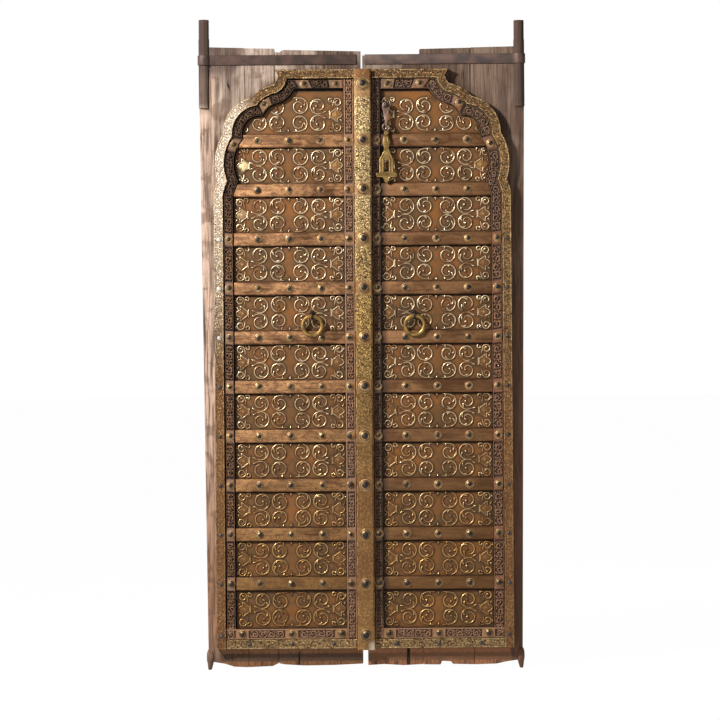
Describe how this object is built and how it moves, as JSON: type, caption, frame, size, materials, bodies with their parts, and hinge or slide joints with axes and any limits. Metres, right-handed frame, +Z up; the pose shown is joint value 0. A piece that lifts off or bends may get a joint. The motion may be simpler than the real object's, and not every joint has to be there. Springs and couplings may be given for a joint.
{
  "type": "carved temple door",
  "caption": "Weathered plank door leaves with scroll-embossed panels under a cusped arch, studded brass-clad rails and border, pivot posts, ring pulls and a hanging chain with hasp.",
  "frame": {"origin": "on the meeting line of the leaves, midway front to back, at the lowest point of the pivots", "axes": "+X to the right as the carved face is seen, the carved face looks along -Y, +Z up"},
  "size_m": [1.0592, 0.118, 2.1],
  "materials": {
    "old_planks": "weathered bare wood",
    "carved_wood": "dark worn carved wood",
    "panel_brass": "embossed sheet, tarnished red brown with polished ridges",
    "rail_brass": "satin copper-brown sheet",
    "border_brass": "engraved tarnished sheet",
    "stud_brass": "worn domes",
    "hasp_brass": "worn cast brass",
    "old_iron": "rusted forged iron"
  },
  "bodies": {
    "left_leaf": {"astragal": "border_brass", "astragal_bosses": "stud_brass", "left_back_ledges": "old_planks", "left_border": "border_brass", "left_bottom_rail": "carved_wood", "left_carved_border": "carved_wood", "left_hanging_stile": "old_planks", "left_inner_strip": "carved_wood", "left_meeting_plank": "old_planks", "left_middle_plank": "old_planks", "left_panel_01": "panel_brass", "left_panel_02": "panel_brass", "left_panel_03": "panel_brass", "left_panel_04": "panel_brass", "left_panel_05": "panel_brass", "left_panel_06": "panel_brass", "left_panel_07": "panel_brass", "left_panel_08": "panel_brass", "left_panel_09": "panel_brass", "left_panel_10": "panel_brass", "left_panel_11": "panel_brass", "left_rails": "rail_brass", "left_ring_staple": "old_iron", "left_sill_strip": "border_brass", "left_strap": "old_iron", "left_studs": "stud_brass"},
    "right_leaf": {"chain_staple": "old_iron", "right_back_ledges": "old_planks", "right_border": "border_brass", "right_bottom_rail": "carved_wood", "right_carved_border": "carved_wood", "right_hanging_stile": "old_planks", "right_inner_strip": "carved_wood", "right_meeting_plank": "old_planks", "right_middle_plank": "old_planks", "right_panel_01": "panel_brass", "right_panel_02": "panel_brass", "right_panel_03": "panel_brass", "right_panel_04": "panel_brass", "right_panel_05": "panel_brass", "right_panel_06": "panel_brass", "right_panel_07": "panel_brass", "right_panel_08": "panel_brass", "right_panel_09": "panel_brass", "right_panel_10": "panel_brass", "right_panel_11": "panel_brass", "right_rails": "rail_brass", "right_ring_staple": "old_iron", "right_sill_strip": "border_brass", "right_strap": "old_iron", "right_studs": "stud_brass"},
    "left_ring": {"left_ring": "old_iron"},
    "right_ring": {"right_ring": "old_iron"},
    "chain_link": {"chain_link": "old_iron"},
    "hasp": {"hasp": "hasp_brass"}
  },
  "joints": [
    {"name": "right_leaf_swing", "type": "hinge", "parent": "left_leaf", "child": "right_leaf", "pos_m": [0.509, 0.008, 1], "axis": [0, 0, -1], "range_deg": [0, 100]},
    {"name": "left_ring_swing", "type": "hinge", "parent": "left_leaf", "child": "left_ring", "pos_m": [-0.165, -0.026, 1.141], "axis": [-1, 0, 0], "range_deg": [0, 120]},
    {"name": "right_ring_swing", "type": "hinge", "parent": "right_leaf", "child": "right_ring", "pos_m": [0.165, -0.026, 1.141], "axis": [-1, 0, 0], "range_deg": [0, 120]},
    {"name": "chain_link_swing", "type": "hinge", "parent": "right_leaf", "child": "chain_link", "pos_m": [0.078, -0.029, 1.82], "axis": [-1, 0, 0], "range_deg": [0, 90]},
    {"name": "hasp_swing", "type": "hinge", "parent": "chain_link", "child": "hasp", "pos_m": [0.078, -0.029, 1.758], "axis": [-1, 0, 0], "range_deg": [0, 90]}
  ]
}
